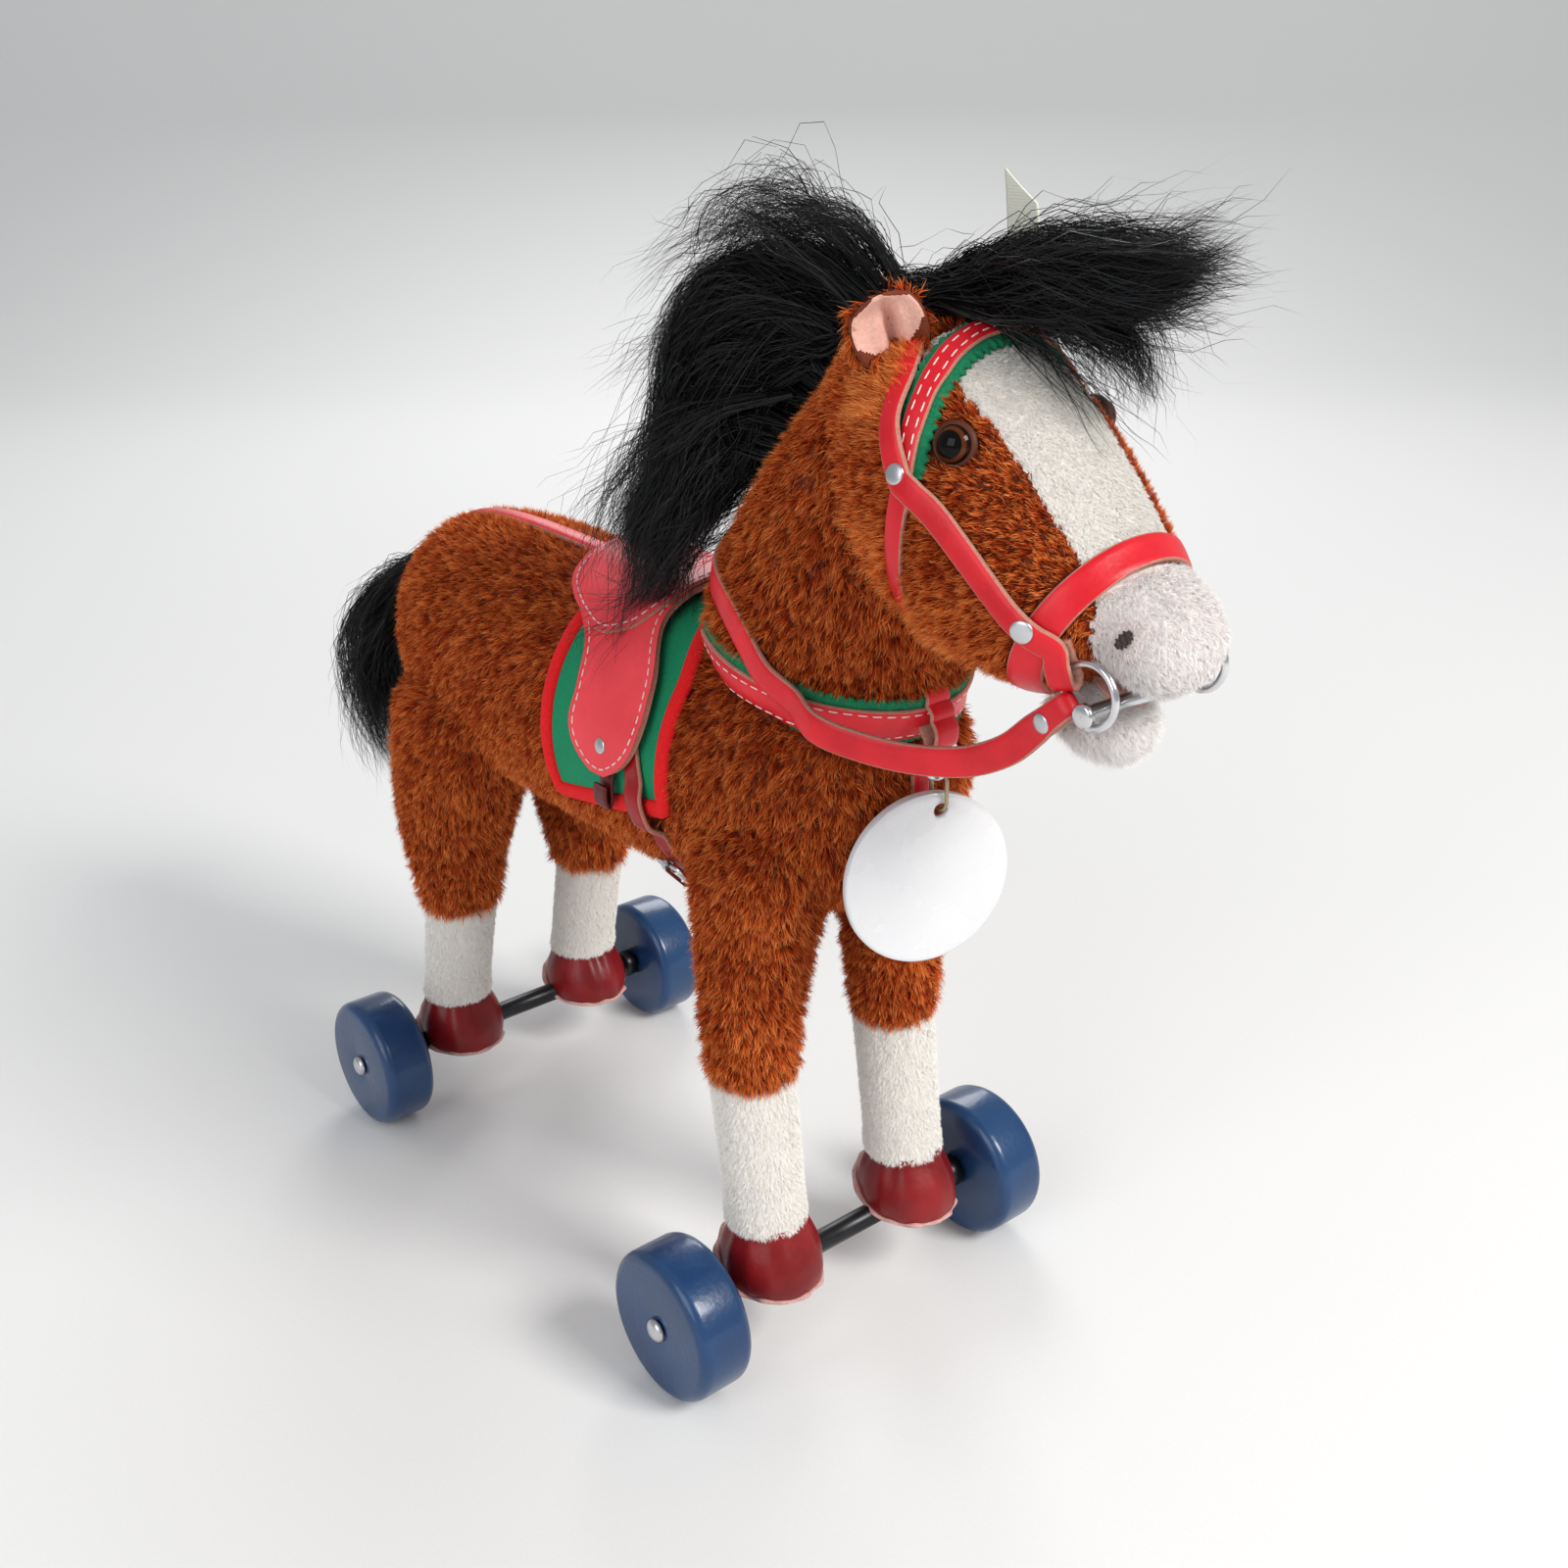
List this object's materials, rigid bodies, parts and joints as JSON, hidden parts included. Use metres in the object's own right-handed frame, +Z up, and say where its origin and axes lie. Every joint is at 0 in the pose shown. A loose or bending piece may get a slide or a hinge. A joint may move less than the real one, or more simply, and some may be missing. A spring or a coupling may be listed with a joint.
{
  "type": "plush ride-on style horse on wheels",
  "caption": "Stuffed plush horse standing on round wooden wheels, with leather saddle, bridle, breast collar and rein, a felt blanket, and a blank disc hanging at its chest.",
  "frame": {"origin": "on the floor, under the middle of the horse's box", "axes": "+Z up; the horse faces -Y, so Y is its length; its right side, with the buckle, is at -X"},
  "size_m": [0.1232, 0.3295, 0.2905],
  "materials": {
    "brown_plush": "short curly mohair pile",
    "cream_plush": "short cream pile",
    "white_plush": "very short white pile",
    "pink_felt": "felt lining",
    "black_hair": "long straight hair",
    "glass_eye": "dark polished eye",
    "hoof_leather": "dark red fringed leather",
    "red_leather": "red, with white stitching and pale cut edges",
    "green_felt": "dense felt",
    "blue_paint": "glossy navy paint on turned wood",
    "black_steel": "black",
    "bright_steel": "bright plated steel",
    "bronze_wire": "dull bronze wire",
    "white_enamel": "glossy white enamel, blank",
    "woven_tape": "woven tape, blank"
  },
  "bodies": {
    "horse": {"axle_cap_front_left": "bright_steel", "axle_cap_front_right": "bright_steel", "axle_cap_rear_left": "bright_steel", "axle_cap_rear_right": "bright_steel", "axle_front": "black_steel", "axle_rear": "black_steel", "bit_ring_left": "bright_steel", "bit_ring_right": "bright_steel", "blanket": "green_felt", "body": "brown_plush", "breast_collar": "red_leather", "browband": "red_leather", "buckle_frame": "bright_steel", "chest_ring": "bright_steel", "chest_tab": "red_leather", "chin": "white_plush", "crupper": "red_leather", "ear_left": "brown_plush", "ear_right": "brown_plush", "ear_tag": "woven_tape", "eye_left": "glass_eye", "eye_right": "glass_eye", "face_blaze": "cream_plush", "forelock": "black_hair", "girth": "red_leather", "head": "brown_plush", "headstall": "red_leather", "hoof_front_left": "hoof_leather", "hoof_front_right": "hoof_leather", "hoof_rear_left": "hoof_leather", "hoof_rear_right": "hoof_leather", "inner_frame": "black_steel", "leg_front_left": "brown_plush", "leg_front_right": "brown_plush", "leg_rear_left": "brown_plush", "leg_rear_right": "brown_plush", "mane": "black_hair", "martingale": "red_leather", "mouth_lining": "pink_felt", "muzzle": "white_plush", "neck": "brown_plush", "noseband": "red_leather", "rein": "red_leather", "saddle": "red_leather", "sock_front_left": "cream_plush", "sock_front_right": "cream_plush", "sock_rear_left": "cream_plush", "sock_rear_right": "cream_plush", "tail": "black_hair", "throatlatch": "red_leather"},
    "front_right_wheel": {"wheel_front_right": "blue_paint"},
    "front_left_wheel": {"wheel_front_left": "blue_paint"},
    "rear_right_wheel": {"wheel_rear_right": "blue_paint"},
    "rear_left_wheel": {"wheel_rear_left": "blue_paint"},
    "bit": {"bit_bar": "bright_steel"},
    "hanging_disc": {"medallion": "white_enamel", "medallion_hook": "bronze_wire"},
    "right_stirrup_strap": {"stirrup_right": "red_leather"},
    "left_stirrup_strap": {"stirrup_left": "red_leather"},
    "prong": {"buckle_prong": "bright_steel"}
  },
  "joints": [
    {"name": "front_right_wheel_spin", "type": "hinge", "parent": "horse", "child": "front_right_wheel", "pos_m": [-0.05185, -0.06205, 0.02], "axis": [1, 0, 0], "continuous": true},
    {"name": "front_left_wheel_spin", "type": "hinge", "parent": "horse", "child": "front_left_wheel", "pos_m": [0.05185, -0.06205, 0.02], "axis": [1, 0, 0], "continuous": true},
    {"name": "rear_right_wheel_spin", "type": "hinge", "parent": "horse", "child": "rear_right_wheel", "pos_m": [-0.05185, 0.09725, 0.02], "axis": [1, 0, 0], "continuous": true},
    {"name": "rear_left_wheel_spin", "type": "hinge", "parent": "horse", "child": "rear_left_wheel", "pos_m": [0.05185, 0.09725, 0.02], "axis": [1, 0, 0], "continuous": true},
    {"name": "bit_turn", "type": "hinge", "parent": "horse", "child": "bit", "pos_m": [0, -0.15092, 0.19825], "axis": [1, 0, 0], "continuous": true},
    {"name": "disc_swing", "type": "hinge", "parent": "horse", "child": "hanging_disc", "pos_m": [0, -0.09596, 0.16361], "axis": [1, 0, 0], "range_deg": [-70, 0]},
    {"name": "right_stirrup_swing", "type": "hinge", "parent": "horse", "child": "right_stirrup_strap", "pos_m": [-0.03547, -0.0187, 0.15536], "axis": [1, 0, 0], "range_deg": [-8, 8]},
    {"name": "left_stirrup_swing", "type": "hinge", "parent": "horse", "child": "left_stirrup_strap", "pos_m": [0.03547, -0.0187, 0.15536], "axis": [1, 0, 0], "range_deg": [-8, 8]},
    {"name": "prong_lift", "type": "hinge", "parent": "horse", "child": "prong", "pos_m": [-0.02958, -0.0324, 0.12799], "axis": [0, 1, 0], "range_deg": [0, 90]}
  ]
}
